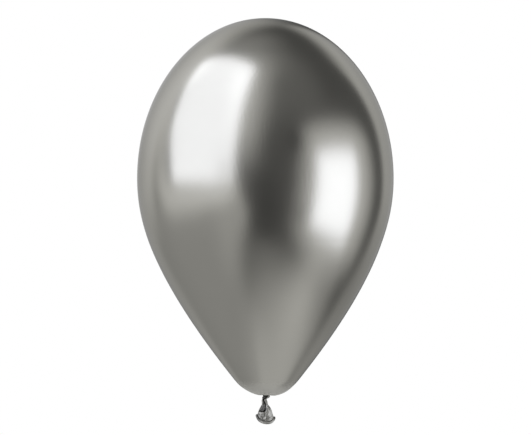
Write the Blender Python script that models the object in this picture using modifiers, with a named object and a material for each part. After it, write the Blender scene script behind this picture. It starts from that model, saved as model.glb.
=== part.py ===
"""A satin latex balloon, blown up and knotted.

The film is a pear turned about Z. Its neck is gathered to a cord, a wrap of the same film
is knotted round the neck, and below the knot the neck opens again in a pleated skirt that
ends in the rolled lip. The origin is on the waist of the neck, just under the knot, where
a ribbon is tied. Units are metres, +Z is up, and the photograph looks along +Y.
"""

import math

import bmesh
import bpy

# Sizes that drive the shape
FULL_WIDTH = 0.330  # across the widest level
CROWN_RISE = 0.206  # crown above the widest level
FOOT_DROP = 0.2805  # widest level above the foot of the pear
FOOT_RADIUS = 0.0513  # roundness of the foot
CONE_HALF_ANGLE = math.radians(38.5)  # side of the pear from the vertical, above the foot
SHOULDER_HANDLE = 0.0513  # how far the side stays upright under the widest level
FILM = 0.0003  # wall of the pear
GAP = 0.0003  # left between pieces that touch

NECK_WAIST_TO_FOOT = 0.0075  # foot of the pear above the origin
MOUTH_RADIUS = 0.0032  # opening of the pear that the neck leaves through

KNOT_TURN_RADIUS = 0.0038  # middle of the wrap from the neck's axis
KNOT_THICKNESS = 0.0026
KNOT_BELOW_FOOT = 0.0023
KNOT_SHIFT = 0.0006
KNOT_TILT = math.radians(-13.0)  # the wrap hangs lower on the left

NECK_FOLDS = 5
NECK_FOLD = 0.12  # share of the radius
NECK_TWIST = math.radians(110.0)
STEM_SHIFT = -0.0013  # the tail hangs a little to the left of the pear's axis
SKIRT_TOP = -0.0030
SKIRT_TOP_RADIUS = 0.0042
SKIRT_WALL = 0.0005
FLARE_POWER = 0.6  # below 1 the skirt opens at once, like a bell
PLEATS = 7
PLEAT_DEPTH = 0.07  # share of the radius
PLEAT_TWIST = math.radians(50.0)

LIP_THICKNESS = 0.0036
LIP_HALF_WIDTH = 0.0111
LIP_HALF_DEPTH = 0.0062
LIP_SIDE_LEVEL = -0.0193  # the lip's two sides
LIP_DROOP = 0.0077  # its front and back hang this much lower
LIP_SHIFT = 0.0003

# How finely round shapes are divided
TURN_STEPS = 44
CROWN_STEPS = 12
SIDE_STEPS = 9
FOOT_STEPS = 5
TAIL_SIDES = 32
SKIRT_ROWS = 8


def clear_scene():
    for obj in list(bpy.data.objects):
        bpy.data.objects.remove(obj)


def new_collection(name):
    collection = bpy.data.collections.new(name)
    bpy.context.scene.collection.children.link(collection)
    return collection


def latex(name, colour, roughness):
    """Latex with a silvery pigment, which mirrors softly."""
    material = bpy.data.materials.new(name)
    material.use_nodes = True
    shader = material.node_tree.nodes["Principled BSDF"]
    shader.inputs["Base Color"].default_value = (*colour, 1.0)
    shader.inputs["Metallic"].default_value = 1.0
    shader.inputs["Roughness"].default_value = roughness
    return material


def place(name, data, material, collection):
    data.materials.append(material)
    obj = bpy.data.objects.new(name, data)
    collection.objects.link(obj)
    return obj


def crown_arc():
    """The quarter ellipse from the crown down to the widest level."""
    radius = FULL_WIDTH / 2
    for step in range(CROWN_STEPS + 1):
        angle = math.pi / 2 * (1 - step / CROWN_STEPS)
        yield radius * math.cos(angle), FOOT_DROP + CROWN_RISE * math.sin(angle)


def side_curve():
    """The cubic from the widest level to the foot, as round at its top as the crown is."""
    radius = FULL_WIDTH / 2
    sine = math.sin(CONE_HALF_ANGLE)
    cosine = math.cos(CONE_HALF_ANGLE)
    end_x = FOOT_RADIUS * cosine
    end_z = FOOT_RADIUS * (1 - sine)
    inset = 1.5 * radius / CROWN_RISE**2 * SHOULDER_HANDLE**2
    handle = (radius - inset - end_x) / sine
    xs = (radius, radius, end_x + handle * sine, end_x)
    zs = (FOOT_DROP, FOOT_DROP - SHOULDER_HANDLE, end_z + handle * cosine, end_z)
    for step in range(1, SIDE_STEPS + 1):
        t = step / SIDE_STEPS
        weights = ((1 - t) ** 3, 3 * t * (1 - t) ** 2, 3 * t**2 * (1 - t), t**3)
        yield (
            sum(w * x for w, x in zip(weights, xs)),
            sum(w * z for w, z in zip(weights, zs)),
        )


def foot_arc():
    """The round foot, from the end of the side to the edge of the mouth."""
    last = math.acos(MOUTH_RADIUS / FOOT_RADIUS)
    for step in range(1, FOOT_STEPS + 1):
        angle = CONE_HALF_ANGLE + (last - CONE_HALF_ANGLE) * step / FOOT_STEPS
        yield FOOT_RADIUS * math.cos(angle), FOOT_RADIUS * (1 - math.sin(angle))


def make_envelope(collection):
    """The blown-up film: its profile turned about Z, with the wall inside it."""
    profile = [*crown_arc(), *side_curve(), *foot_arc()]
    points = [(x, 0.0, NECK_WAIST_TO_FOOT + z) for x, z in profile]
    mesh = bpy.data.meshes.new("envelope")
    mesh.from_pydata(points, [(i, i + 1) for i in range(len(points) - 1)], [])
    material = latex("envelope_latex", (0.33, 0.33, 0.315), 0.2)
    obj = place("envelope", mesh, material, collection)
    turn = obj.modifiers.new("turn", "SCREW")
    turn.angle = 2 * math.pi
    turn.steps = TURN_STEPS
    turn.render_steps = TURN_STEPS
    turn.use_smooth_shade = True
    turn.use_merge_vertices = True
    turn.merge_threshold = 0.00005
    wall = obj.modifiers.new("film", "SOLIDIFY")
    wall.thickness = FILM
    wall.offset = -1.0
    return obj


def around():
    """The angles of the points round a piece of the tail."""
    return [2 * math.pi * i / TAIL_SIDES for i in range(TAIL_SIDES)]


def loft(name, rings, closed_below):
    """A mesh through the rings of points, from the top one down. The top one is closed."""
    mesh = bmesh.new()
    loops = [[mesh.verts.new(point) for point in points] for points in rings]
    mesh.faces.new(loops[0])
    if closed_below:
        mesh.faces.new(reversed(loops[-1]))
    for upper, lower in zip(loops, loops[1:]):
        for i in range(TAIL_SIDES):
            j = (i + 1) % TAIL_SIDES
            mesh.faces.new((upper[i], lower[i], lower[j], upper[j]))
    data = bpy.data.meshes.new(name)
    mesh.to_mesh(data)
    mesh.free()
    data.shade_smooth()
    data.set_sharp_from_angle(angle=math.radians(50.0))
    return data


def neck_ring(shift, depth, radius, turned):
    """A level ring of the neck, whose outline is drawn in by soft folds."""
    points = []
    for angle in around():
        fold = (1 - math.cos(NECK_FOLDS * (angle - turned))) / 2
        reach = radius * (1 - NECK_FOLD * fold)
        x = shift + reach * math.cos(angle)
        points.append((x, reach * math.sin(angle), NECK_WAIST_TO_FOOT - depth))
    return points


def make_neck(collection):
    """The gathered neck, folded and twisted: it fills the mouth, passes the knot and widens."""
    # shift to the right, depth below the foot, radius
    stations = (
        (0.0002, -0.0012, MOUTH_RADIUS - GAP),
        (0.0003, 0.0001, 0.0025),
        (0.0005, 0.0011, 0.0020),
        (KNOT_SHIFT, KNOT_BELOW_FOOT, 0.0018),
        (0.0003, 0.0037, 0.0019),
        (-0.0001, 0.0047, 0.0023),
        (-0.0006, 0.0054, 0.0029),
        (-0.0010, 0.0063, 0.0035),
        (STEM_SHIFT, 0.0078, 0.0038),
        (STEM_SHIFT, NECK_WAIST_TO_FOOT - SKIRT_TOP - GAP, 0.0040),
    )
    last = len(stations) - 1
    rings = [neck_ring(*row, NECK_TWIST * i / last) for i, row in enumerate(stations)]
    mesh = loft("neck", rings, closed_below=True)
    return place("neck", mesh, latex("neck_latex", (0.20, 0.20, 0.19), 0.3), collection)


def make_knot(collection):
    """The wrap of film that is knotted round the neck."""
    bpy.ops.mesh.primitive_torus_add(
        major_radius=KNOT_TURN_RADIUS,
        minor_radius=KNOT_THICKNESS / 2,
        major_segments=28,
        minor_segments=10,
        location=(KNOT_SHIFT, 0.0, NECK_WAIST_TO_FOOT - KNOT_BELOW_FOOT),
        rotation=(0.0, KNOT_TILT, 0.0),
    )
    obj = bpy.context.object
    obj.name = "knot"
    obj.data.name = "knot"
    obj.data.shade_smooth()
    obj.data.materials.append(latex("knot_latex", (0.10, 0.10, 0.095), 0.3))
    for holder in list(obj.users_collection):
        holder.objects.unlink(obj)
    collection.objects.link(obj)
    return obj


def lip_level(angle):
    """The height of the lip's middle line, which hangs low in front and behind."""
    return LIP_SIDE_LEVEL - LIP_DROOP * math.sin(angle) ** 2


def skirt_ring(share):
    """A ring of the skirt's outer side, at this share of the way from its top to its hem."""
    above_lip = LIP_THICKNESS / 2 + GAP
    flare = share**FLARE_POWER
    reach_x = SKIRT_TOP_RADIUS + (LIP_HALF_WIDTH - above_lip / 4 - SKIRT_TOP_RADIUS) * flare
    reach_y = SKIRT_TOP_RADIUS + (LIP_HALF_DEPTH - above_lip / 4 - SKIRT_TOP_RADIUS) * flare
    shift = STEM_SHIFT + (LIP_SHIFT - STEM_SHIFT) * share
    depth = PLEAT_DEPTH * math.sin(math.pi * share)
    points = []
    for angle in around():
        swell = 1 + depth * math.cos(PLEATS * angle + PLEAT_TWIST * share)
        x = shift + reach_x * swell * math.cos(angle)
        hem = lip_level(angle) + above_lip
        z = SKIRT_TOP + (hem - SKIRT_TOP) * share
        points.append((x, reach_y * swell * math.sin(angle), z))
    return points


def make_skirt(collection):
    """The flared end of the neck: a pleated bell, closed above and open below."""
    rings = [skirt_ring((row / SKIRT_ROWS) ** 1.5) for row in range(SKIRT_ROWS + 1)]
    mesh = loft("skirt", rings, closed_below=False)
    obj = place("skirt", mesh, latex("skirt_latex", (0.24, 0.24, 0.23), 0.28), collection)
    wall = obj.modifiers.new("wall", "SOLIDIFY")
    wall.thickness = SKIRT_WALL
    wall.offset = -1.0
    return obj


def make_lip(collection):
    """The rolled edge of the film, a round cord that follows the hem."""
    path = bpy.data.curves.new("rolled_lip", "CURVE")
    path.dimensions = "3D"
    path.bevel_depth = LIP_THICKNESS / 2
    path.bevel_resolution = 3
    spline = path.splines.new("POLY")
    spline.points.add(TAIL_SIDES - 1)
    spline.use_cyclic_u = True
    spline.use_smooth = True
    for point, angle in zip(spline.points, around()):
        x = LIP_SHIFT + LIP_HALF_WIDTH * math.cos(angle)
        y = LIP_HALF_DEPTH * math.sin(angle)
        point.co = (x, y, lip_level(angle), 1.0)
    material = latex("lip_latex", (0.16, 0.16, 0.15), 0.3)
    return place("rolled_lip", path, material, collection)


clear_scene()
balloon = new_collection("satin_latex_balloon")
make_envelope(balloon)
make_neck(balloon)
make_knot(balloon)
make_skirt(balloon)
make_lip(balloon)
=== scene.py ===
import math

import bpy
import numpy as np
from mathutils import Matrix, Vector


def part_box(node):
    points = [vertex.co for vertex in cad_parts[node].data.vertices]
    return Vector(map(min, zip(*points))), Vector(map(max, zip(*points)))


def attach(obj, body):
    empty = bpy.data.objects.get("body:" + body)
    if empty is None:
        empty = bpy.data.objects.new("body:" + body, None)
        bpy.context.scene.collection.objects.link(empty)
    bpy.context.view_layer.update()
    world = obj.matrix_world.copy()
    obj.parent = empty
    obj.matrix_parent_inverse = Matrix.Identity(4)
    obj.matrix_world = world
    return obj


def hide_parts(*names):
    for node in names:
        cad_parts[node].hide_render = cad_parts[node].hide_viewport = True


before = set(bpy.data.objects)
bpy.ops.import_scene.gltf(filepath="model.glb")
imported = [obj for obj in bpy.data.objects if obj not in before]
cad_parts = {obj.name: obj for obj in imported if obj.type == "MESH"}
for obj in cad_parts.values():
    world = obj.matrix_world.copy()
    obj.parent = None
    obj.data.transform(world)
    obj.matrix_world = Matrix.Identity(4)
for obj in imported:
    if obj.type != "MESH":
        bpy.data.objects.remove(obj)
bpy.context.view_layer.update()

# Camera
# The photograph looks at the balloon from its own height, from far enough away that its
# outline is nearly a side view. The picture's middle is a little below the widest level.
picture_width = 0.684
camera_distance = 3.0
middle_shift = 0.0002
middle_rise = 0.2300
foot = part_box("envelope")[0].z
picture_middle = Vector((middle_shift, 0.0, foot + middle_rise))
lens_data = bpy.data.cameras.new("camera")
lens_data.sensor_width = 36.0
lens_data.lens = lens_data.sensor_width * camera_distance / picture_width
camera = bpy.data.objects.new("camera", lens_data)
camera.location = picture_middle + Vector((0.0, -camera_distance, 0.0))
camera.rotation_euler = (math.pi / 2, 0.0, 0.0)
bpy.context.scene.collection.objects.link(camera)
bpy.context.scene.camera = camera
bpy.context.scene.view_settings.view_transform = "Standard"

# Studio
# White paper all round for the camera. What the film mirrors is a large key box at the upper
# left, a smaller fill box at the right, paler walls and floor, and small dark cards that take
# light away at the corners of the boxes.


def new_tree(name, kind, inputs, outputs):
    """An empty node group with its named sockets, and its input and output nodes."""
    tree = bpy.data.node_groups.new(name, kind)
    for label, socket, value in inputs:
        item = tree.interface.new_socket(name=label, in_out="INPUT", socket_type=socket)
        if value is not None:
            item.default_value = value
    for label, socket in outputs:
        tree.interface.new_socket(name=label, in_out="OUTPUT", socket_type=socket)
    return tree, tree.nodes.new("NodeGroupInput"), tree.nodes.new("NodeGroupOutput")


def feed(tree, socket, value):
    """Links value to the socket if it is a node's output, or else sets it there."""
    if isinstance(value, bpy.types.NodeSocket):
        tree.links.new(value, socket)
    else:
        socket.default_value = value


def maths(tree, operation, *values):
    """The output of a Math node fed with sockets or plain numbers."""
    node = tree.nodes.new("ShaderNodeMath")
    node.operation = operation
    for socket, value in zip(node.inputs, values):
        feed(tree, socket, value)
    return node.outputs[0]


def blend(tree, share, first, second, kind="FLOAT"):
    """The output of a Mix node: first where share is 0 and second where it is 1."""
    node = tree.nodes.new("ShaderNodeMix")
    node.data_type = kind
    first_socket, result = (6, 2) if kind == "RGBA" else (2, 0)
    feed(tree, node.inputs["Factor"], share)
    feed(tree, node.inputs[first_socket], first)
    feed(tree, node.inputs[first_socket + 1], second)
    return node.outputs[result]


def step_up(tree, value, middle, reach):
    """Rises smoothly from 0 to 1 as value passes middle."""
    node = tree.nodes.new("ShaderNodeMapRange")
    node.interpolation_type = "SMOOTHSTEP"
    feed(tree, node.inputs["Value"], value)
    feed(tree, node.inputs["From Min"], maths(tree, "SUBTRACT", middle, reach))
    feed(tree, node.inputs["From Max"], maths(tree, "ADD", middle, reach))
    return node.outputs["Result"]


def split_up(tree, vector):
    """The X, Y and Z of a vector, as the outputs of a node."""
    node = tree.nodes.new("ShaderNodeSeparateXYZ")
    tree.links.new(vector, node.inputs[0])
    return node.outputs


def light_box_tree():
    """A flat, soft-edged light far away: how much of its light comes from one direction."""
    vector, number = "NodeSocketVector", "NodeSocketFloat"
    tree, given, made = new_tree(
        "light_box",
        "ShaderNodeTree",
        (
            ("Direction", vector, None),
            ("Turn", vector, None),
            ("Left", number, -0.5),
            ("Right", number, 0.5),
            ("Bottom", number, -0.5),
            ("Top", number, 0.5),
            ("Top slope", number, 0.0),
            ("Side edge", number, 0.1),
            ("Level edge", number, 0.1),
            ("Brightness", number, 1.0),
        ),
        (("Light", number),),
    )
    out = given.outputs
    turned = tree.nodes.new("ShaderNodeMapping")
    turned.vector_type = "TEXTURE"
    tree.links.new(out["Direction"], turned.inputs["Vector"])
    tree.links.new(out["Turn"], turned.inputs["Rotation"])
    aim = split_up(tree, turned.outputs[0])
    least_ahead = 0.001
    ahead = maths(tree, "MAXIMUM", maths(tree, "MULTIPLY", aim["Y"], -1.0), least_ahead)
    across = maths(tree, "DIVIDE", aim["X"], ahead)
    up = maths(tree, "DIVIDE", aim["Z"], ahead)
    top = maths(tree, "MULTIPLY_ADD", across, out["Top slope"], out["Top"])
    right = maths(tree, "SUBTRACT", 1.0, step_up(tree, across, out["Right"], out["Side edge"]))
    lower = maths(tree, "SUBTRACT", 1.0, step_up(tree, up, top, out["Level edge"]))
    beside = maths(tree, "MULTIPLY", step_up(tree, across, out["Left"], out["Side edge"]), right)
    above = maths(tree, "MULTIPLY", step_up(tree, up, out["Bottom"], out["Level edge"]), lower)
    facing = maths(tree, "GREATER_THAN", ahead, 1.1 * least_ahead)
    seen = maths(tree, "MULTIPLY", maths(tree, "MULTIPLY", beside, above), facing)
    tree.links.new(maths(tree, "MULTIPLY", seen, out["Brightness"]), made.inputs["Light"])
    return tree


world = bpy.data.worlds.new("studio")
bpy.context.scene.world = world
world.use_nodes = True
sky = world.node_tree
sky.nodes.clear()
direction = sky.nodes.new("ShaderNodeTexCoord").outputs["Generated"]
light_box = light_box_tree()
# Azimuth 0 is towards the camera and 90 at the picture's right. Widths are in units of the
# distance. A brightness below 0 is a dark card, which takes light away.
boxes = (
    # azimuth, elevation, left, right, bottom, top, top slope, side edge, level edge, brightness
    ("key", -30, 30, -2.00, 0.055, -0.62, 0.93, -0.48, 0.07, 0.14, 2.1),
    ("beside_key", -14, 50, -0.25, 0.08, -0.75, 0.48, 0.0, 0.3, 0.5, 0.86),
    ("under_key", -68, -8, -0.8, 0.87, -0.15, 0.16, 0.0, 0.30, 0.14, 0.62),
    ("fill", 68, -9, -0.405, 0.397, -0.392, 0.425, -0.05, 0.12, 0.12, 1.75),
    ("fill_wall", 68, -12, -0.72, 0.89, -0.56, 0.82, -0.17, 0.35, 0.20, 0.72),
    ("left_wall", -148, 22, -0.56, 0.62, -0.54, 0.62, 0.20, 0.2, 0.4, 1.01),
    ("left_gap", -106, 12, -0.15, 0.13, -0.26, 0.24, 0.0, 0.10, 0.15, 0.65),
    ("right_card", 150, 14, -0.38, 0.30, -0.54, 0.5, 0.0, 0.06, 0.3, 0.85),
    ("left_low", -152, -22, -0.30, 0.22, -0.20, 0.16, 0.0, 0.14, 0.14, 0.30),
    ("lower_left", -95, -30, -2.2, 2.8, -0.75, 0.5, 0.0, 0.8, 0.3, 0.40),
    ("lower_right", 144, -28, -0.30, 0.38, -0.28, 0.24, 0.0, 0.13, 0.20, 0.36),
    ("upper_right", 36, 58, -0.7, 0.45, -0.4, 0.4, 0.0, 0.3, 0.3, 0.09),
    ("front_left", -30, -34, -0.28, 0.1, -0.5, 0.45, 0.0, 0.2, 0.25, 0.13),
    ("front_floor", 28, -53, -0.55, 0.45, -0.20, 0.17, 0.0, 0.3, 0.15, 0.235),
    ("back_floor", 180, -46, -0.6, 0.35, -0.4, 0.40, 0.0, 0.35, 0.25, 0.36),
    ("floor", 95, -80, -0.545, 0.50, -0.62, 0.69, 0.0, 0.34, 0.32, 0.69),
    ("ceiling", -70, 79, -0.4, 0.4, -0.4, 0.4, 0.0, 0.3, 0.3, 0.19),
    ("beside_low", -22, -14, -0.08, 0.06, -0.35, 0.32, 0.0, 0.10, 0.15, 0.14),
    ("key_corner_card", -36, 3, -0.12, 0.08, -0.09, 0.10, 0.0, 0.10, 0.10, -0.45),
    ("front_dark_card", 2, -14, -0.22, 0.15, -0.50, 0.27, 0.0, 0.15, 0.15, -0.035),
    ("fill_corner_card", 35, -23, -0.12, 0.12, -0.10, 0.10, 0.0, 0.12, 0.10, -0.20),
    ("foot_right_card", 142, -51, -0.20, 0.22, -0.16, 0.09, 0.0, 0.12, 0.10, -0.42),
    ("fill_top_card", 32, 20, -0.10, 0.08, -0.08, 0.08, 0.0, 0.10, 0.08, -0.24),
    ("fill_right_card", 105, -33, -0.12, 0.12, -0.08, 0.08, 0.0, 0.10, 0.08, -0.16),
    ("right_top", 160, 38, -0.28, 0.24, -0.14, 0.14, 0.0, 0.15, 0.13, 0.25),
    ("left_ceiling", -142, 66, -0.24, 0.36, -0.3, 0.3, 0.0, 0.3, 0.3, 0.15),
)
box_labels = ("Left", "Right", "Bottom", "Top", "Top slope", "Side edge", "Level edge", "Brightness")
room_light = 0.125
darkest = 0.05
mirrored = room_light
for name, azimuth, elevation, *sizes in boxes:
    node = sky.nodes.new("ShaderNodeGroup")
    node.node_tree = light_box
    node.name = name
    node.inputs["Turn"].default_value = (math.radians(-elevation), 0.0, math.radians(azimuth))
    for label, value in zip(box_labels, sizes):
        node.inputs[label].default_value = value
    sky.links.new(direction, node.inputs["Direction"])
    mirrored = maths(sky, "ADD", node.outputs["Light"], mirrored)
mirrored = maths(sky, "MAXIMUM", mirrored, darkest)
# The two big boxes are a little cooler than the walls. The camera sees plain white instead.
white = (1.0, 1.0, 1.0, 1.0)
cool_white = (0.98, 1.0, 1.09, 1.0)
wall_brightness = 0.9
box_brightness = 2.0
cooler = sky.nodes.new("ShaderNodeMapRange")
for label, value in (("Value", mirrored), ("From Min", wall_brightness), ("From Max", box_brightness)):
    feed(sky, cooler.inputs[label], value)
tint = blend(sky, cooler.outputs["Result"], white, cool_white, "RGBA")
to_camera = sky.nodes.new("ShaderNodeLightPath").outputs["Is Camera Ray"]
background = sky.nodes.new("ShaderNodeBackground")
feed(sky, background.inputs["Color"], blend(sky, to_camera, tint, white, "RGBA"))
feed(sky, background.inputs["Strength"], blend(sky, to_camera, mirrored, 1.0))
sky.links.new(background.outputs[0], sky.nodes.new("ShaderNodeOutputWorld").inputs["Surface"])

# Floor
# A round of pale paper well below the balloon, lit from within a little so that it is as
# pale as the paper behind, and fading out at its rim. The film doesn't mirror it.
floor_level = foot - 0.46
floor_radius = 3.0
fade_start = 1.0
floor_corners = 180
floor_turns = [2 * math.pi * i / floor_corners for i in range(floor_corners)]
floor_ring = [(floor_radius * math.cos(t), floor_radius * math.sin(t), floor_level) for t in floor_turns]
floor_mesh = bpy.data.meshes.new("floor")
floor_mesh.from_pydata(floor_ring, [], [list(range(floor_corners))])
floor_paper = bpy.data.objects.new("floor", floor_mesh)
bpy.context.scene.collection.objects.link(floor_paper)
floor_paper.visible_glossy = False
paper = bpy.data.materials.new("pale_paper")
paper.use_nodes = True
nodes, links = paper.node_tree.nodes, paper.node_tree.links
shader = nodes["Principled BSDF"]
shader.inputs["Base Color"].default_value = (0.80, 0.80, 0.79, 1.0)
shader.inputs["Roughness"].default_value = 0.9
shader.inputs["Emission Color"].default_value = white
shader.inputs["Emission Strength"].default_value = 0.40
length = nodes.new("ShaderNodeVectorMath")
length.operation = "LENGTH"
links.new(nodes.new("ShaderNodeTexCoord").outputs["Object"], length.inputs[0])
fade = nodes.new("ShaderNodeMapRange")
fade.interpolation_type = "SMOOTHSTEP"
links.new(length.outputs["Value"], fade.inputs["Value"])
fade_values = (("From Min", fade_start), ("From Max", floor_radius), ("To Min", 1.0), ("To Max", 0.0))
for label, value in fade_values:
    fade.inputs[label].default_value = value
links.new(fade.outputs["Result"], shader.inputs["Alpha"])
floor_mesh.materials.append(paper)

# Blown-up film
# Latex with a silvery pigment, blown to a pear: an ellipsoid crown, sides that run straight to
# a cone, and a small round foot. The knot draws the foot into faint puckers and a shallow
# dimple, with duller, slacker film round it. One profile is turned about the balloon's axis.
# The mark of slack film on the balloon, and of painted shade on the tail, lip and knot.
slack_and_shade_mark = "fold"


def film_finish_tree():
    """The latex's mottled colour, its roughness and sheen, which change where the film is slack and where
    shade is painted, and its grain.
    """
    colour, number, vector = "NodeSocketColor", "NodeSocketFloat", "NodeSocketVector"
    tree, given, made = new_tree(
        "film_finish",
        "ShaderNodeTree",
        (
            ("Place", vector, None),
            ("Film colour", colour, None),
            ("Slack and shade colour", colour, None),
            ("Fold", number, 0.0),
            ("Film roughness", number, 0.22),
            ("Fold roughness", number, 0.35),
            ("Film sheen", number, 1.0),
            ("Fold sheen", number, 1.0),
            ("Mottle size", number, 0.02),
            ("Mottle", number, 0.03),
            ("Grain size", number, 0.0006),
            ("Grain stretch", vector, (1.0, 1.0, 1.0)),
        ),
        (("Colour", colour), ("Roughness", number), ("Metallic", number), ("Height", number)),
    )
    link = tree.links.new
    out = given.outputs

    def noise(place, size, detail):
        node = tree.nodes.new("ShaderNodeTexNoise")
        node.inputs["Detail"].default_value = detail
        link(place, node.inputs["Vector"])
        link(maths(tree, "DIVIDE", 1.0, size), node.inputs["Scale"])
        return maths(tree, "SUBTRACT", node.outputs["Fac"], 0.5)

    cloud = maths(tree, "MULTIPLY", noise(out["Place"], out["Mottle size"], 3.0), out["Mottle"])
    mottled = tree.nodes.new("ShaderNodeVectorMath")
    mottled.operation = "SCALE"
    # Where marked, the colour goes over to the slack film's paler colour on the balloon and to painted
    # shade on the tail, lip and knot.
    link(blend(tree, out["Fold"], out["Film colour"], out["Slack and shade colour"], "RGBA"), mottled.inputs[0])
    link(maths(tree, "ADD", cloud, 1.0), mottled.inputs["Scale"])
    link(mottled.outputs[0], made.inputs["Colour"])
    roughness = blend(tree, out["Fold"], out["Film roughness"], out["Fold roughness"])
    rough_cloud = maths(tree, "MULTIPLY", cloud, 0.5)
    link(maths(tree, "ADD", roughness, rough_cloud), made.inputs["Roughness"])
    link(blend(tree, out["Fold"], out["Film sheen"], out["Fold sheen"]), made.inputs["Metallic"])
    stretched = tree.nodes.new("ShaderNodeVectorMath")
    stretched.operation = "DIVIDE"
    link(out["Place"], stretched.inputs[0])
    link(out["Grain stretch"], stretched.inputs[1])
    link(noise(stretched.outputs[0], out["Grain size"], 2.0), made.inputs["Height"])
    return tree


film_finish = film_finish_tree()


def latex(name, film_colour, slack_and_shade_colour, film_roughness, grain_height, **changes):
    """A satin metallic latex. changes gives more of its finish, such as mottle_size=0.003."""
    material = bpy.data.materials.new(name)
    material.use_nodes = True
    nodes, links = material.node_tree.nodes, material.node_tree.links
    shader = nodes["Principled BSDF"]
    shader.inputs["Specular Tint"].default_value = (0.5, 0.5, 0.5, 1.0)
    finish = nodes.new("ShaderNodeGroup")
    finish.node_tree = film_finish
    finish.inputs["Film colour"].default_value = (*film_colour, 1.0)
    finish.inputs["Slack and shade colour"].default_value = (*slack_and_shade_colour, 1.0)
    finish.inputs["Film roughness"].default_value = film_roughness
    for label, value in changes.items():
        finish.inputs[label.replace("_", " ").capitalize()].default_value = value
    links.new(nodes.new("ShaderNodeTexCoord").outputs["Object"], finish.inputs["Place"])
    marks = nodes.new("ShaderNodeAttribute")
    marks.attribute_name = slack_and_shade_mark
    links.new(marks.outputs["Fac"], finish.inputs["Fold"])
    links.new(finish.outputs["Colour"], shader.inputs["Base Color"])
    links.new(finish.outputs["Roughness"], shader.inputs["Roughness"])
    film_sheen = finish.inputs["Film sheen"].default_value
    if film_sheen == finish.inputs["Fold sheen"].default_value:
        shader.inputs["Metallic"].default_value = film_sheen
    else:
        links.new(finish.outputs["Metallic"], shader.inputs["Metallic"])
    bump = nodes.new("ShaderNodeBump")
    bump.inputs["Distance"].default_value = grain_height
    links.new(finish.outputs["Height"], bump.inputs["Height"])
    links.new(bump.outputs["Normal"], shader.inputs["Normal"])
    return material


def placed(tree, geometry, x, y, z):
    """The geometry with its points put at x, y and z."""
    point = tree.nodes.new("ShaderNodeCombineXYZ")
    for socket, value in zip(point.inputs, (x, y, z)):
        feed(tree, socket, value)
    node = tree.nodes.new("GeometryNodeSetPosition")
    tree.links.new(geometry, node.inputs["Geometry"])
    tree.links.new(point.outputs[0], node.inputs["Position"])
    return node.outputs["Geometry"]


def slack_and_shade_marked(tree, geometry, value):
    """The geometry with value kept on its points as its mark of slack film and of painted shade."""
    node = tree.nodes.new("GeometryNodeStoreNamedAttribute")
    node.inputs["Name"].default_value = slack_and_shade_mark
    tree.links.new(geometry, node.inputs["Geometry"])
    tree.links.new(value, node.inputs["Value"])
    return node.outputs["Geometry"]


def finished(tree, geometry, out, made):
    """Ends a tree: smooth shading, instances made real, and the film's material."""
    smooth = tree.nodes.new("GeometryNodeSetShadeSmooth")
    realize = tree.nodes.new("GeometryNodeRealizeInstances")
    paint = tree.nodes.new("GeometryNodeSetMaterial")
    tree.links.new(out["Film"], paint.inputs["Material"])
    for node in (smooth, realize, paint):
        tree.links.new(geometry, node.inputs["Geometry"])
        geometry = node.outputs["Geometry"]
    tree.links.new(geometry, made.inputs["Geometry"])
    return tree


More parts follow.
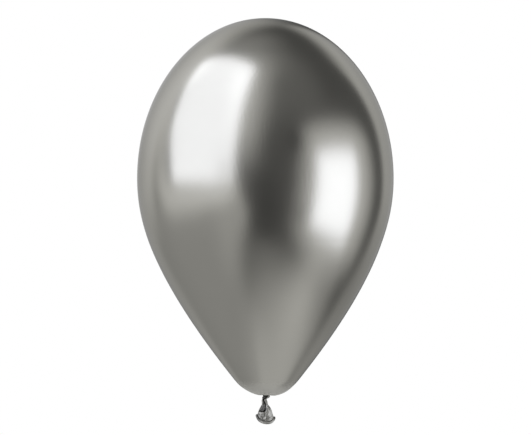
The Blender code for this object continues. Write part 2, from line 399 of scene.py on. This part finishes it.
def turned_film_tree():
    """A skin turned about Z from three Bezier pieces, with what the knot does to its foot."""
    vector, number, whole = "NodeSocketVector", "NodeSocketFloat", "NodeSocketInt"
    tree, given, made = new_tree(
        "turned_film",
        "GeometryNodeTree",
        (
            ("Top", vector, None),
            ("Top handle", vector, None),
            ("Shoulder handle", vector, None),
            ("Widest", vector, None),
            ("Side handle", vector, None),
            ("Cone handle", vector, None),
            ("Cone end", vector, None),
            ("Foot handle", vector, None),
            ("Foot side handle", vector, None),
            ("Foot", vector, None),
            ("Profile steps", whole, 96),
            ("Around", whole, 288),
            ("Rows", whole, 260),
            ("Crowding", number, 1.6),
            ("Lean", number, 0.0),
            ("Lean height", number, 0.2),
            ("Puckers", number, 17.0),
            ("Pucker depth", number, 0.0002),
            ("Pucker start", number, 0.003),
            ("Pucker reach", number, 0.010),
            ("Slack height", number, 0.024),
            ("Foot tilt", number, 0.0),
            ("Tilt reach", number, 0.034),
            ("Dimple depth", number, 0.0034),
            ("Dimple half width", number, 0.0128),
            ("Dimple half depth", number, 0.0185),
            ("Film", "NodeSocketMaterial", None),
        ),
        (("Geometry", "NodeSocketGeometry"),),
    )
    link = tree.links.new
    out = given.outputs
    pieces = (
        ("Top", "Top handle", "Shoulder handle", "Widest"),
        ("Widest", "Side handle", "Cone handle", "Cone end"),
        ("Cone end", "Foot side handle", "Foot handle", "Foot"),
    )
    profile = tree.nodes.new("GeometryNodeJoinGeometry")
    for labels in reversed(pieces):
        piece = tree.nodes.new("GeometryNodeCurvePrimitiveBezierSegment")
        link(out["Profile steps"], piece.inputs["Resolution"])
        for socket, label in zip(("Start", "Start Handle", "End Handle", "End"), labels):
            link(out[label], piece.inputs[socket])
        link(piece.outputs["Curve"], profile.inputs["Geometry"])
    # A grid is rolled up: its X runs round the axis, and its Y from the top down to the foot.
    grid = tree.nodes.new("GeometryNodeMeshGrid")
    link(out["Around"], grid.inputs["Vertices X"])
    link(out["Rows"], grid.inputs["Vertices Y"])
    place = split_up(tree, tree.nodes.new("GeometryNodeInputPosition").outputs[0])
    turn = maths(tree, "MULTIPLY", place["X"], 2 * math.pi)
    up = maths(tree, "SUBTRACT", 0.5, place["Y"])
    down = maths(tree, "SUBTRACT", 1.0, maths(tree, "POWER", up, out["Crowding"]))
    below = maths(tree, "GREATER_THAN", down, 0.5)
    sample = tree.nodes.new("GeometryNodeSampleCurve")
    sample.mode = "FACTOR"
    sample.use_all_curves = True
    link(profile.outputs["Geometry"], sample.inputs["Curves"])
    link(down, sample.inputs["Factor"])
    spot = split_up(tree, sample.outputs["Position"])
    radius, height = spot["X"], spot["Z"]
    across = maths(tree, "MULTIPLY", radius, maths(tree, "COSINE", turn))
    inside = maths(tree, "MULTIPLY", radius, maths(tree, "SINE", turn))
    # Puckers: a wave round the foot that is strongest near the knot and still at the axis.
    inward = maths(tree, "SUBTRACT", 1.0, maths(tree, "DIVIDE", radius, out["Pucker reach"]))
    strength = maths(tree, "POWER", maths(tree, "MAXIMUM", inward, 0.0), 2.0)
    off_axis = maths(tree, "MINIMUM", maths(tree, "DIVIDE", radius, out["Pucker start"]), 1.0)
    strength = maths(tree, "MULTIPLY", maths(tree, "MULTIPLY", strength, below), off_axis)
    waves = maths(tree, "COSINE", maths(tree, "MULTIPLY", turn, out["Puckers"]))
    pucker = maths(tree, "MULTIPLY", maths(tree, "MULTIPLY", waves, strength), out["Pucker depth"])
    # Lean: the cone swings a little to one side below its height.
    above = maths(tree, "SUBTRACT", height, split_up(tree, out["Foot"])["Z"])
    share = maths(tree, "MINIMUM", maths(tree, "DIVIDE", above, out["Lean height"]), 1.0)
    share = maths(tree, "MAXIMUM", share, 0.0)
    swing = maths(tree, "SUBTRACT", 1.0, maths(tree, "POWER", share, 2.0))
    sideways = maths(tree, "MULTIPLY", swing, out["Lean"])
    # Dimple: the knot draws the film up into a small hollow.
    away_across = maths(tree, "POWER", maths(tree, "DIVIDE", across, out["Dimple half width"]), 2.0)
    away_inside = maths(tree, "POWER", maths(tree, "DIVIDE", inside, out["Dimple half depth"]), 2.0)
    near = maths(tree, "SUBTRACT", 1.0, maths(tree, "ADD", away_across, away_inside))
    hollow = maths(tree, "POWER", maths(tree, "MAXIMUM", near, 0.0), 3.0)
    hollow = maths(tree, "MULTIPLY", maths(tree, "MULTIPLY", hollow, below), out["Dimple depth"])
    # Tilt: the foot hangs a little lower on one side.
    hang = maths(tree, "POWER", maths(tree, "DIVIDE", radius, out["Tilt reach"]), 4.0)
    hang = maths(tree, "MAXIMUM", maths(tree, "SUBTRACT", 1.0, hang), 0.0)
    hang = maths(tree, "MULTIPLY", maths(tree, "MULTIPLY", hang, below), out["Foot tilt"])
    rise = maths(tree, "ADD", pucker, hollow)
    rise = maths(tree, "SUBTRACT", rise, maths(tree, "MULTIPLY", hang, across))
    # Slack: the film near the knot is marked for its duller finish.
    half_slack = maths(tree, "DIVIDE", out["Slack height"], 2.0)
    slack = maths(tree, "SUBTRACT", 1.0, step_up(tree, above, half_slack, half_slack))
    slack = maths(tree, "MULTIPLY", slack, below)
    skin = placed(
        tree,
        slack_and_shade_marked(tree, grid.outputs["Mesh"], slack),
        maths(tree, "ADD", across, sideways),
        inside,
        maths(tree, "ADD", height, rise),
    )
    # The seam and both poles are welded shut.
    weld = tree.nodes.new("GeometryNodeMergeByDistance")
    weld.inputs["Distance"].default_value = 0.000001
    link(skin, weld.inputs["Geometry"])
    return finished(tree, weld.outputs["Geometry"], out, made)


def grown(name, tree, values):
    """A plain mesh object made by a geometry tree, with the modifier's result baked in."""
    host = bpy.data.objects.new(name + "_host", bpy.data.meshes.new(name + "_host"))
    bpy.context.scene.collection.objects.link(host)
    modifier = host.modifiers.new("grow", "NODES")
    modifier.node_group = tree
    for item in tree.interface.items_tree:
        if item.in_out == "INPUT" and item.name in values:
            modifier[item.identifier] = values[item.name]
    graph = bpy.context.evaluated_depsgraph_get()
    mesh = bpy.data.meshes.new_from_object(host.evaluated_get(graph), depsgraph=graph)
    mesh.name = name
    bpy.data.objects.remove(host)
    piece = bpy.data.objects.new(name, mesh)
    bpy.context.scene.collection.objects.link(piece)
    return piece


low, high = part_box("envelope")
half_width = (high.x - low.x) / 2
crown_rise = 0.206
widest_level = high.z - crown_rise
foot_radius = 0.0513
cone_angle = math.radians(38.5)
upright_side = 0.0513
cone_end_rise = foot_radius * (1 - math.sin(cone_angle))
cone_end = Vector((foot_radius * math.cos(cone_angle), 0.0, foot + cone_end_rise))
# The side leaves the widest level with the crown's own curve, so its handle lies this far in.
inset = 1.5 * half_width / crown_rise**2 * upright_side**2
cone_reach = (half_width - inset - cone_end.x) / math.sin(cone_angle)
cone_way = Vector((math.sin(cone_angle), 0.0, math.cos(cone_angle)))
# A handle of this share of its radius makes a quarter of an ellipse.
round_handle = 0.5523
early_turn = 0.003
foot_start = cone_end + cone_way * early_turn
foot_side_handle = 0.0205
foot_handle = 0.0155
film = grown(
    "blown_film",
    turned_film_tree(),
    {
        "Top": Vector((0.0, 0.0, high.z)),
        "Top handle": Vector((half_width * round_handle, 0.0, high.z)),
        "Shoulder handle": Vector((half_width, 0.0, widest_level + crown_rise * round_handle)),
        "Widest": Vector((half_width, 0.0, widest_level)),
        "Side handle": Vector((half_width, 0.0, widest_level - upright_side)),
        "Cone handle": cone_end + cone_way * cone_reach,
        "Cone end": foot_start,
        "Foot side handle": foot_start - cone_way * foot_side_handle,
        "Foot handle": Vector((foot_handle, 0.0, foot)),
        "Foot": Vector((0.0, 0.0, foot)),
        "Lean": 0.0017,
        "Lean height": 0.20,
        "Foot tilt": 0.035,
        "Film": latex(
            "blown_film",
            film_colour=(0.407, 0.40, 0.366),
            slack_and_shade_colour=(0.447, 0.44, 0.402),
            film_roughness=0.22,
            grain_height=0.00004,
            fold_roughness=0.65,
            fold_sheen=0.50,
            grain_size=0.003,
            grain_stretch=(1.0, 1.0, 4.0),
        ),
    },
)
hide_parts("envelope")
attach(film, "root")

# Gathered neck
# The same film drawn together below the foot: a twisted cord that starts wide in the foot's
# dimple and runs down through the knot. In front one strand crosses it and leaves a deep fold
# at its left side.


def ringed_piece(name, rings, material):
    """A closed smooth body from rings, each given as its points and their marks of painted shade."""
    count, around = len(rings), len(rings[0][0])
    faces = []
    for i in range(count - 1):
        for j in range(around):
            k = (j + 1) % around
            faces.append((i * around + j, (i + 1) * around + j, (i + 1) * around + k, i * around + k))
    faces.append(tuple(range(around)))
    faces.append(tuple(reversed(range((count - 1) * around, count * around))))
    mesh = bpy.data.meshes.new(name)
    mesh.from_pydata(np.concatenate([points for points, marks in rings]).tolist(), [], faces)
    mesh.update()
    all_marks = np.concatenate([marks for points, marks in rings]).astype(np.float32)
    attribute = mesh.attributes.new(slack_and_shade_mark, "FLOAT", "POINT")
    attribute.data.foreach_set("value", np.clip(all_marks, 0.0, 1.0))
    mesh.shade_smooth()
    mesh.set_sharp_from_angle(angle=math.radians(60.0))
    mesh.materials.append(material)
    piece = bpy.data.objects.new(name, mesh)
    bpy.context.scene.collection.objects.link(piece)
    return piece


def drawn_in(ring_and_marks, shrink, rise):
    """The ring drawn in by a small distance and moved by rise, to run on inside the next piece."""
    ring, marks = ring_and_marks
    outward = ring - ring.mean(axis=0)
    outward = outward / np.linalg.norm(outward, axis=1)[:, None]
    return ring - outward * shrink + np.array([0.0, 0.0, rise]), marks


def smooth_between(xs, ys, x, reach):
    """A smooth line through given points: the mean of the straight lines over a short reach."""
    shifts = np.linspace(-reach, reach, 9)
    values = [np.interp(x + shift, xs, ys) for shift in shifts]
    return np.average(values, axis=0, weights=np.cos(shifts / reach * math.pi / 2) + 0.05)


def near_line(x, z, line, width):
    """1 on a drawn line of points in millimetres, falling to 0 over its width."""
    nearest = np.full(np.shape(x), np.inf)
    for (x0, z0), (x1, z1) in zip(line, line[1:]):
        along = ((x - x0) * (x1 - x0) + (z - z0) * (z1 - z0)) / ((x1 - x0) ** 2 + (z1 - z0) ** 2)
        along = np.clip(along, 0.0, 1.0)
        nearest = np.minimum(nearest, np.hypot(x - x0 - along * (x1 - x0), z - z0 - along * (z1 - z0)))
    return np.exp(-((nearest / width) ** 2))


def ramp(value, start, end):
    """0 before start, 1 after end, smooth between them."""
    share = np.clip((value - start) / (end - start), 0.0, 1.0)
    return share * share * (3 - 2 * share)


# Folds in front, in millimetres: points (x, z), width and depth, which is below 0 where the
# film stands out. The last number is the painted shade along it, below 0 where it clears painted shade.
deep_fold = ((-2.8, 4.2), (-2.3, 1.6), (-1.2, -0.6), (0.3, -3.3), (0.95, -6.2), (0.5, -8.9), (-0.6, -11.0))
front_folds = (
    (deep_fold, 1.20, 1.20, 1.00),
    (((-0.6, -11.0), (-2.0, -11.8), (-4.5, -12.0), (-8.5, -11.5)), 0.90, 0.90, 0.95),
    (((-2.6, 3.0), (-2.4, -1.5), (-2.3, -4.0), (-3.0, -6.5), (-4.6, -9.2)), 0.75, 0.45, 0.85),
    (((-1.0, -6.4), (-3.4, -9.6), (-6.4, -10.4)), 0.60, 0.30, 0.80),
    (((-4.0, -2.6), (-5.0, -5.4), (-6.6, -8.6)), 0.60, 0.30, 0.70),
    (((-0.4, -5.6), (-2.4, -8.2), (-5.6, -9.4)), 0.45, -0.35, 0.00),
    (((-1.0, 4.2), (1.0, 2.2), (2.0, -0.4), (2.8, -3.0), (2.6, -6.4)), 0.95, -0.60, -0.95),
    (((3.6, -5.0), (4.8, -7.2), (5.4, -9.0)), 0.90, 0.35, 0.45),
)


def pressed(x, z, lines, push, dark):
    """Push in millimetres and painted shade, from 0 to 1, after drawing the lines."""
    for line, width, depth, darkness in lines:
        mark = near_line(x, z, line, width)
        flat = np.minimum(1.5 * mark, 1.0)
        push = push + depth * mark
        dark = dark * (1 + darkness * flat) if darkness < 0 else np.maximum(dark, darkness * flat)
    return push, dark


def front_relief(x, y, z, lines, dark=0.0):
    """How far the front of the tail is pushed in, in metres, and the painted shade in its folds."""
    x, z = x * 1000, z * 1000
    fold_x = np.interp(-z, [-level for side, level in deep_fold], [side for side, level in deep_fold])
    # The film to the left of the deep fold lies further back, and is painted in shadow.
    pocket = ramp(fold_x - x, -0.3, 1.2) * ramp(z, -12.4, -11.2) * ramp(-z, 1.0, 5.5)
    push, dark = pressed(x, z, lines, 0.8 * pocket, np.maximum(dark, 0.78 * pocket))
    return push * ramp(-y, 0.0007, 0.0021) / 1000, dark * ramp(-y, 0.0, 0.0010)


tail_steps = 288
angles = np.arange(tail_steps) * 2 * math.pi / tail_steps
strands = 5
strand_depth = 0.14
# The strands show less in front, where the folds above take their place.
strand_share = 1 - 0.7 * ramp(-np.sin(angles), 0.0, 0.5)
neck_twist = math.radians(150.0)
neck_flatness = 0.84
neck_top = 0.0114
knot_level = 0.0092
neck_end = -0.0030
# Levels, half widths and sideways shifts down the neck, in millimetres.
neck_smoothing = 0.9
neck_levels = (11.4, 10.4, 9.2, 7.8, 6.6, 5.4, 4.0, 2.8, 1.6, 0.4, -1.0, -2.4, -3.0)
neck_widths = (8.4, 6.2, 4.4, 3.0, 2.4, 2.5, 2.8, 3.2, 3.6, 3.8, 3.9, 4.0, 4.0)
neck_shifts = (0.4, 0.3, 0.3, 0.2, -0.3, -0.8, -1.2, -1.4, -1.3, -0.9, -0.6, -0.5, -0.5)


def along_neck(values, level):
    """The neck's value at a level in metres, from the values in millimetres at neck_levels."""
    downward = [-step for step in neck_levels]
    return float(smooth_between(downward, values, -level * 1000, neck_smoothing)) / 1000


def strand_valley(twist):
    """0 on the strands of the cord and 1 in the valleys between them."""
    return (1 - np.abs(np.sin(strands / 2 * (angles - twist)))) ** 2


def stem_ring(level):
    """One level ring of the cord: its points and their painted shade."""
    drop = max(knot_level - level, 0.0) / (knot_level - neck_end)
    valley = strand_valley(neck_twist * math.sin(math.pi / 2 * drop))
    scale = along_neck(neck_widths, level) * (1 - strand_depth * valley * strand_share)
    x = along_neck(neck_shifts, level) + scale * np.cos(angles)
    y = neck_flatness * scale * np.sin(angles)
    levels = np.full(tail_steps, level)
    push, dark = front_relief(x, y, levels, front_folds)
    x = x - push * np.cos(angles)
    y = y - push * np.sin(angles)
    # Painted shade close under the foot, clear again inside its dimple, and in the valleys between the
    # strands.
    under_foot = 0.95 * ramp(level, 0.0042, 0.0058) * (1 - 0.9 * ramp(level, 0.0086, 0.0104))
    dark = np.maximum(dark, np.maximum(0.5 * valley * strand_share, under_foot))
    return np.stack([x, y, levels], axis=1), dark


tail_grey = (0.376, 0.37, 0.339)
# Painted shade: the near black that the tail's creases, valleys and shaded places are coloured with.
tail_painted_shade = (0.02, 0.02, 0.02)
tail_grain_height = 0.00001
gathered_film = latex(
    "gathered_film",
    film_colour=tail_grey,
    slack_and_shade_colour=tail_painted_shade,
    film_roughness=0.42,
    grain_height=tail_grain_height,
    film_sheen=0.8,
    mottle=0.14,
    mottle_size=0.0025,
)
neck_rows = 92
neck_rings = [stem_ring(level) for level in np.linspace(neck_top, neck_end, neck_rows)]
lowest_ring = neck_rings[-1]
for shrink, rise in ((0.000006, -0.0001), (0.00004, -0.00025), (0.0001, -0.0004), (0.0002, -0.0006)):
    neck_rings.append(drawn_in(lowest_ring, shrink, rise))
neck = ringed_piece("gathered_neck", neck_rings, gathered_film)
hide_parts("neck")
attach(neck, "root")

# Skirt
# Below the knot the film opens again into a flattened bell of soft pleats. It is a thin
# skin: the outside runs down to the lip, turns round and runs back up inside.
lip_shift = 0.0003
lip_half_width = 0.0111
lip_half_depth = 0.0062
lip_side_level = -0.0188
lip_droop = 0.0075
lip_tilt = 0.0015
lip_swing = -0.03
lip_round = 0.68
skirt_rows = 130
skirt_skin = 0.0004
skirt_end_rise = 0.0004
pleat_count = 9
pleat_depth = 0.10
# Half widths, sideways shifts and half depths at shares of the skirt's length.
skirt_smoothing = 0.03
skirt_shares = (-0.05, 0.0, 0.04, 0.08, 0.25, 0.46, 0.71, 0.89, 1.0)
skirt_widths = (0.00396, 0.0040, 0.0042, 0.0049, 0.0066, 0.0081, 0.0094, 0.0102, 0.0107)
skirt_shifts = (-0.0005, -0.0005, -0.0004, -0.0003, 0.0002, 0.0001, 0.0000, 0.0002, 0.0003)
skirt_depths = (0.00333, 0.00336, 0.0035, 0.0038, 0.0044, 0.0049, 0.0053, 0.0056, 0.0058)
lower_folds = (
    (((-10.5, -12.0), (-8.5, -16.0), (-6.0, -19.5)), 2.60, 0.00, 0.42),
    (((-0.6, -12.6), (-0.9, -16.0), (-1.4, -20.0)), 1.30, 0.20, 0.22),
    (((0.8, -20.5), (2.6, -20.9), (4.8, -20.4)), 1.50, -1.00, 0.15),
    (((-3.6, -15.6), (-3.7, -18.5), (-3.2, -21.5)), 0.55, 0.35, 0.40),
    (((6.2, -10.5), (7.4, -14.0), (8.4, -17.5)), 0.80, 0.25, 0.20),
    (((-6.6, -14.0), (-7.6, -17.5)), 0.70, 0.20, 0.15),
    (((3.0, -14.6), (3.3, -16.0), (3.9, -17.8)), 1.20, -0.50, -0.60),
    (((-8.0, -13.6), (-6.0, -15.0), (-5.0, -17.6)), 1.50, -0.60, 0.00),
    (((-10.4, -19.6), (-7.6, -21.4), (-3.4, -22.7), (-1.1, -23.6)), 0.80, 0.25, 0.75),
    (((0.2, -23.4), (2.0, -23.7), (4.4, -23.3)), 0.90, 0.00, -1.00),
    (((6.8, -22.2), (8.2, -21.4), (9.0, -20.2)), 0.80, -0.15, -0.90),
)


def lip_level(angle):
    """The height of the lip's middle line: it droops in front and behind and tilts to the right."""
    inward = 1 - (np.cos(angle) - lip_swing * np.sin(angle) ** 2) ** 2
    droop = lip_droop * (1 + lip_round) * inward / (inward + lip_round)
    return lip_side_level - droop - lip_tilt * np.cos(angle)


def along_skirt(values, share):
    """The skirt's value at a share of its length, from the values at skirt_shares."""
    return float(smooth_between(skirt_shares, values, share, skirt_smoothing))


def skirt_ring(share, inside):
    """One ring of the skirt from its top (0) to the lip (1), outside or a skin's width inside."""
    level = neck_end + (lip_level(angles) + skirt_end_rise - neck_end) * share
    stem_valley = strand_valley(neck_twist)
    pleat_waves = np.sin(pleat_count / 2 * angles + 0.9 * share + 0.5 * np.sin(3 * angles))
    pleat_valley = (1 - np.abs(pleat_waves)) ** 2
    fading = ramp(share, 0.0, 0.35)
    pleats = fading * (1 - 0.6 * share) * pleat_depth * pleat_valley
    scale = 1 - ((1 - fading) * strand_depth * stem_valley + pleats) * strand_share
    x = along_skirt(skirt_shifts, share) + along_skirt(skirt_widths, share) * scale * np.cos(angles)
    y = along_skirt(skirt_depths, share) * scale * np.sin(angles)
    # Painted shade in the crease above the lip, strongest at its two ends.
    edge_dark = (0.10 + 0.8 * np.abs(np.cos(angles)) ** 1.5) * ramp(share, 0.91, 0.97)
    push, dark = front_relief(x, y, level, front_folds + lower_folds, edge_dark)
    push = push * (1 - ramp(share, 0.93, 1.0)) + (skirt_skin if inside else 0.0)
    x = x - push * np.cos(angles)
    y = y - push * np.sin(angles)
    # Painted shade in the valleys between the strands and the pleats.
    valleys = (0.5 * (1 - fading) * stem_valley + 0.3 * fading * pleat_valley) * strand_share
    dark = np.maximum(dark, valleys)
    dark = np.maximum(dark, edge_dark * ramp(np.sin(angles), -0.2, 0.2))
    # The inside of the skirt is painted in even shade.
    if inside:
        dark = np.full(tail_steps, 0.5)
    return np.stack([x, y, level], axis=1), dark


skirt_rings = [skirt_ring(share, False) for share in np.linspace(0.0, 1.0, skirt_rows)]
skirt_rings += [skirt_ring(share, True) for share in np.linspace(1.0, 0.25, skirt_rows // 2)]
skirt = ringed_piece("pleated_skirt", skirt_rings, gathered_film)
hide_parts("skirt")
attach(skirt, "root")

# Rolled lip
# The end of the film is rolled up on itself into a round bead, which follows the open end
# of the skirt. Its roll shows as a step along the bead.


def circle(tree, steps):
    """A circle curve, and the angle of each of its points."""
    node = tree.nodes.new("GeometryNodeCurvePrimitiveCircle")
    node.inputs["Resolution"].default_value = steps
    index = tree.nodes.new("GeometryNodeInputIndex").outputs[0]
    return node.outputs["Curve"], maths(tree, "MULTIPLY", index, 2 * math.pi / steps)


def cord_section(tree, ring, angle, radius):
    """The ring with each of its points put at a radius of its own."""
    across = maths(tree, "MULTIPLY", maths(tree, "COSINE", angle), radius)
    up = maths(tree, "MULTIPLY", maths(tree, "SINE", angle), radius)
    return placed(tree, ring, across, up, 0.0)


def rolled_lip_tree():
    """A bead with one rolled step, swept along an oval that droops in front and behind."""
    number = "NodeSocketFloat"
    tree, given, made = new_tree(
        "rolled_lip",
        "GeometryNodeTree",
        (
            ("Half width", number, 0.011),
            ("Half depth", number, 0.006),
            ("Shift", number, 0.0),
            ("Side level", number, 0.0),
            ("Droop", number, 0.007),
            ("Swing", number, 0.0),
            ("Roundness", number, 0.6),
            ("Tilt", number, 0.0),
            ("Bead", number, 0.0018),
            ("Roll step", number, 0.12),
            ("Dark left end", number, 0.76),
            ("Dark right end", number, 0.75),
            ("Dark crease", number, 0.42),
            ("Dark underside", number, 0.48),
            ("Unevenness", number, 0.0001),
            ("Dent scale", number, 350.0),
            ("Film", "NodeSocketMaterial", None),
        ),
        (("Geometry", "NodeSocketGeometry"),),
    )
    link = tree.links.new
    out = given.outputs
    oval, angle = circle(tree, 300)
    cosine = maths(tree, "COSINE", angle)
    sine = maths(tree, "SINE", angle)
    swung = maths(tree, "MULTIPLY", maths(tree, "POWER", sine, 2.0), out["Swing"])
    swung = maths(tree, "SUBTRACT", cosine, swung)
    inward = maths(tree, "SUBTRACT", 1.0, maths(tree, "MULTIPLY", swung, swung))
    drop = maths(tree, "DIVIDE", inward, maths(tree, "ADD", inward, out["Roundness"]))
    drop = maths(tree, "MULTIPLY", drop, maths(tree, "ADD", out["Roundness"], 1.0))
    level = maths(tree, "SUBTRACT", out["Side level"], maths(tree, "MULTIPLY", drop, out["Droop"]))
    level = maths(tree, "SUBTRACT", level, maths(tree, "MULTIPLY", cosine, out["Tilt"]))
    path = placed(
        tree,
        oval,
        maths(tree, "MULTIPLY_ADD", cosine, out["Half width"], out["Shift"]),
        maths(tree, "MULTIPLY", sine, out["Half depth"]),
        level,
    )
    ring, round_angle = circle(tree, 40)
    turn_share = maths(tree, "DIVIDE", round_angle, 2 * math.pi)
    rolled = maths(tree, "SUBTRACT", 1.0, maths(tree, "MULTIPLY", turn_share, out["Roll step"]))
    section = cord_section(tree, ring, round_angle, maths(tree, "MULTIPLY", rolled, out["Bead"]))
    sweep = tree.nodes.new("GeometryNodeCurveToMesh")
    link(path, sweep.inputs["Curve"])
    link(section, sweep.inputs["Profile Curve"])
    # Painted shade: darker at both ends of the oval, in the crease above the bead and along its underside.
    # Each row says what is measured, where darkness sets in, over what reach, and how dark.
    spot = split_up(tree, tree.nodes.new("GeometryNodeInputPosition").outputs[0])
    normal = tree.nodes.new("GeometryNodeInputNormal").outputs[0]
    right = maths(tree, "DIVIDE", maths(tree, "SUBTRACT", spot["X"], out["Shift"]), out["Half width"])
    up = split_up(tree, normal)["Z"]
    places = (
        (maths(tree, "MULTIPLY", right, -1.0), 0.66, 0.26, "Dark left end"),
        (right, 0.97, 0.08, "Dark right end"),
        (up, 0.70, 0.25, "Dark crease"),
        (maths(tree, "MULTIPLY", up, -1.0), 0.45, 0.40, "Dark underside"),
    )
    dark = 0.0
    for measure, middle, reach, label in places:
        darker = maths(tree, "MULTIPLY", step_up(tree, measure, middle, reach), out[label])
        dark = maths(tree, "MAXIMUM", dark, darker)
    noise = tree.nodes.new("ShaderNodeTexNoise")
    link(out["Dent scale"], noise.inputs["Scale"])
    noise.inputs["Detail"].default_value = 1.0
    swell = maths(tree, "MULTIPLY", maths(tree, "SUBTRACT", noise.outputs["Fac"], 0.5), out["Unevenness"])
    outward = tree.nodes.new("ShaderNodeVectorMath")
    outward.operation = "SCALE"
    link(normal, outward.inputs[0])
    link(swell, outward.inputs["Scale"])
    ripple = tree.nodes.new("GeometryNodeSetPosition")
    link(slack_and_shade_marked(tree, sweep.outputs["Mesh"], dark), ripple.inputs["Geometry"])
    link(outward.outputs[0], ripple.inputs["Offset"])
    return finished(tree, ripple.outputs["Geometry"], out, made)


lip = grown(
    "rolled_bead",
    rolled_lip_tree(),
    {
        "Half width": lip_half_width,
        "Half depth": lip_half_depth,
        "Shift": lip_shift,
        "Side level": lip_side_level,
        "Droop": lip_droop,
        "Swing": lip_swing,
        "Roundness": lip_round,
        "Tilt": lip_tilt,
        "Bead": 0.0018,
        "Film": latex(
            "lip_film",
            film_colour=tail_grey,
            slack_and_shade_colour=tail_painted_shade,
            film_roughness=0.45,
            grain_height=tail_grain_height,
            film_sheen=0.7,
            mottle=0.12,
            mottle_size=0.003,
        ),
    },
)
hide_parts("rolled_lip")
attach(lip, "root")

# Knot
# One turn of the gathered film round the neck, close under the foot. It lies higher at the
# right, and its two ends tuck in under each other at the back.


def knot_tree():
    """A grooved cord, wound more than once round the neck and tapered at its ends."""
    number, vector = "NodeSocketFloat", "NodeSocketVector"
    tree, given, made = new_tree(
        "knot_turn",
        "GeometryNodeTree",
        (
            ("Turns", number, 1.15),
            ("Start radius", number, 0.0030),
            ("End radius", number, 0.0033),
            ("Rise", number, 0.0008),
            ("Cord", number, 0.0021),
            ("Taper", number, 9.0),
            ("Tip", number, 0.05),
            ("Grooves", number, 5.0),
            ("Groove depth", number, 0.16),
            ("Groove twist", number, 3.0),
            ("Middle", vector, None),
            ("Tilt", vector, None),
            ("Start turn", vector, None),
            ("Dark until", number, 0.0028),
            ("Dark edge", number, 0.0015),
            ("Dark slant", number, 1.2),
            ("Darkness", number, 0.85),
            ("Film", "NodeSocketMaterial", None),
        ),
        (("Geometry", "NodeSocketGeometry"),),
    )
    link = tree.links.new
    out = given.outputs
    spiral = tree.nodes.new("GeometryNodeCurveSpiral")
    spiral.inputs["Resolution"].default_value = 160
    sizes = (
        ("Turns", "Rotations"),
        ("Start radius", "Start Radius"),
        ("End radius", "End Radius"),
        ("Rise", "Height"),
    )
    for label, socket in sizes:
        link(out[label], spiral.inputs[socket])
    along = tree.nodes.new("GeometryNodeSplineParameter").outputs["Factor"]
    to_end = maths(tree, "MINIMUM", along, maths(tree, "SUBTRACT", 1.0, along))
    taper = maths(tree, "MINIMUM", maths(tree, "MULTIPLY", to_end, out["Taper"]), math.pi / 2)
    thickness = maths(tree, "MAXIMUM", maths(tree, "SINE", taper), out["Tip"])
    twist = tree.nodes.new("GeometryNodeSetCurveTilt")
    link(spiral.outputs["Curve"], twist.inputs["Curve"])
    link(maths(tree, "MULTIPLY", along, out["Groove twist"]), twist.inputs["Tilt"])
    ring, angle = circle(tree, 60)
    half_grooves = maths(tree, "DIVIDE", out["Grooves"], 2.0)
    wave = maths(tree, "ABSOLUTE", maths(tree, "SINE", maths(tree, "MULTIPLY", angle, half_grooves)))
    valley = maths(tree, "POWER", maths(tree, "SUBTRACT", 1.0, wave), 2.0)
    grooved = maths(tree, "SUBTRACT", 1.0, maths(tree, "MULTIPLY", valley, out["Groove depth"]))
    section = cord_section(tree, ring, angle, maths(tree, "MULTIPLY", grooved, out["Cord"]))
    sweep = tree.nodes.new("GeometryNodeCurveToMesh")
    sweep.inputs["Fill Caps"].default_value = True
    link(twist.outputs["Curve"], sweep.inputs["Curve"])
    link(slack_and_shade_marked(tree, section, valley), sweep.inputs["Profile Curve"])
    link(thickness, sweep.inputs["Scale"])
    spun = tree.nodes.new("GeometryNodeTransform")
    link(sweep.outputs["Mesh"], spun.inputs["Geometry"])
    link(out["Start turn"], spun.inputs["Rotation"])
    turned = tree.nodes.new("GeometryNodeTransform")
    link(spun.outputs["Geometry"], turned.inputs["Geometry"])
    link(out["Middle"], turned.inputs["Translation"])
    link(out["Tilt"], turned.inputs["Rotation"])
    # Painted shade: darker at its left and along its top than at its lower right end, and in its grooves.
    spot = split_up(tree, tree.nodes.new("GeometryNodeInputPosition").outputs[0])
    below = maths(tree, "SUBTRACT", split_up(tree, out["Middle"])["Z"], spot["Z"])
    slanted = maths(tree, "MULTIPLY_ADD", below, out["Dark slant"], spot["X"])
    left = maths(tree, "SUBTRACT", 1.0, step_up(tree, slanted, out["Dark until"], out["Dark edge"]))
    left = maths(tree, "MULTIPLY", left, out["Darkness"])
    grooves = tree.nodes.new("GeometryNodeInputNamedAttribute")
    grooves.inputs["Name"].default_value = slack_and_shade_mark
    dark = maths(tree, "MAXIMUM", left, grooves.outputs["Attribute"])
    return finished(tree, slack_and_shade_marked(tree, turned.outputs["Geometry"], dark), out, made)


knot = grown(
    "knotted_turn",
    knot_tree(),
    {
        "Middle": Vector((0.0011, 0.0, 0.0060)),
        "Tilt": Vector((0.0, math.radians(-21.0), 0.0)),
        "Start turn": Vector((0.0, 0.0, math.radians(75.0))),
        "Film": latex(
            "knotted_film",
            film_colour=(0.366, 0.36, 0.33),
            # The near black is painted shade in the grooves and on the shaded left.
            slack_and_shade_colour=(0.01, 0.01, 0.01),
            film_roughness=0.30,
            grain_height=tail_grain_height,
            mottle=0.3,
            mottle_size=0.002,
        ),
    },
)
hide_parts("knot")
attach(knot, "root")
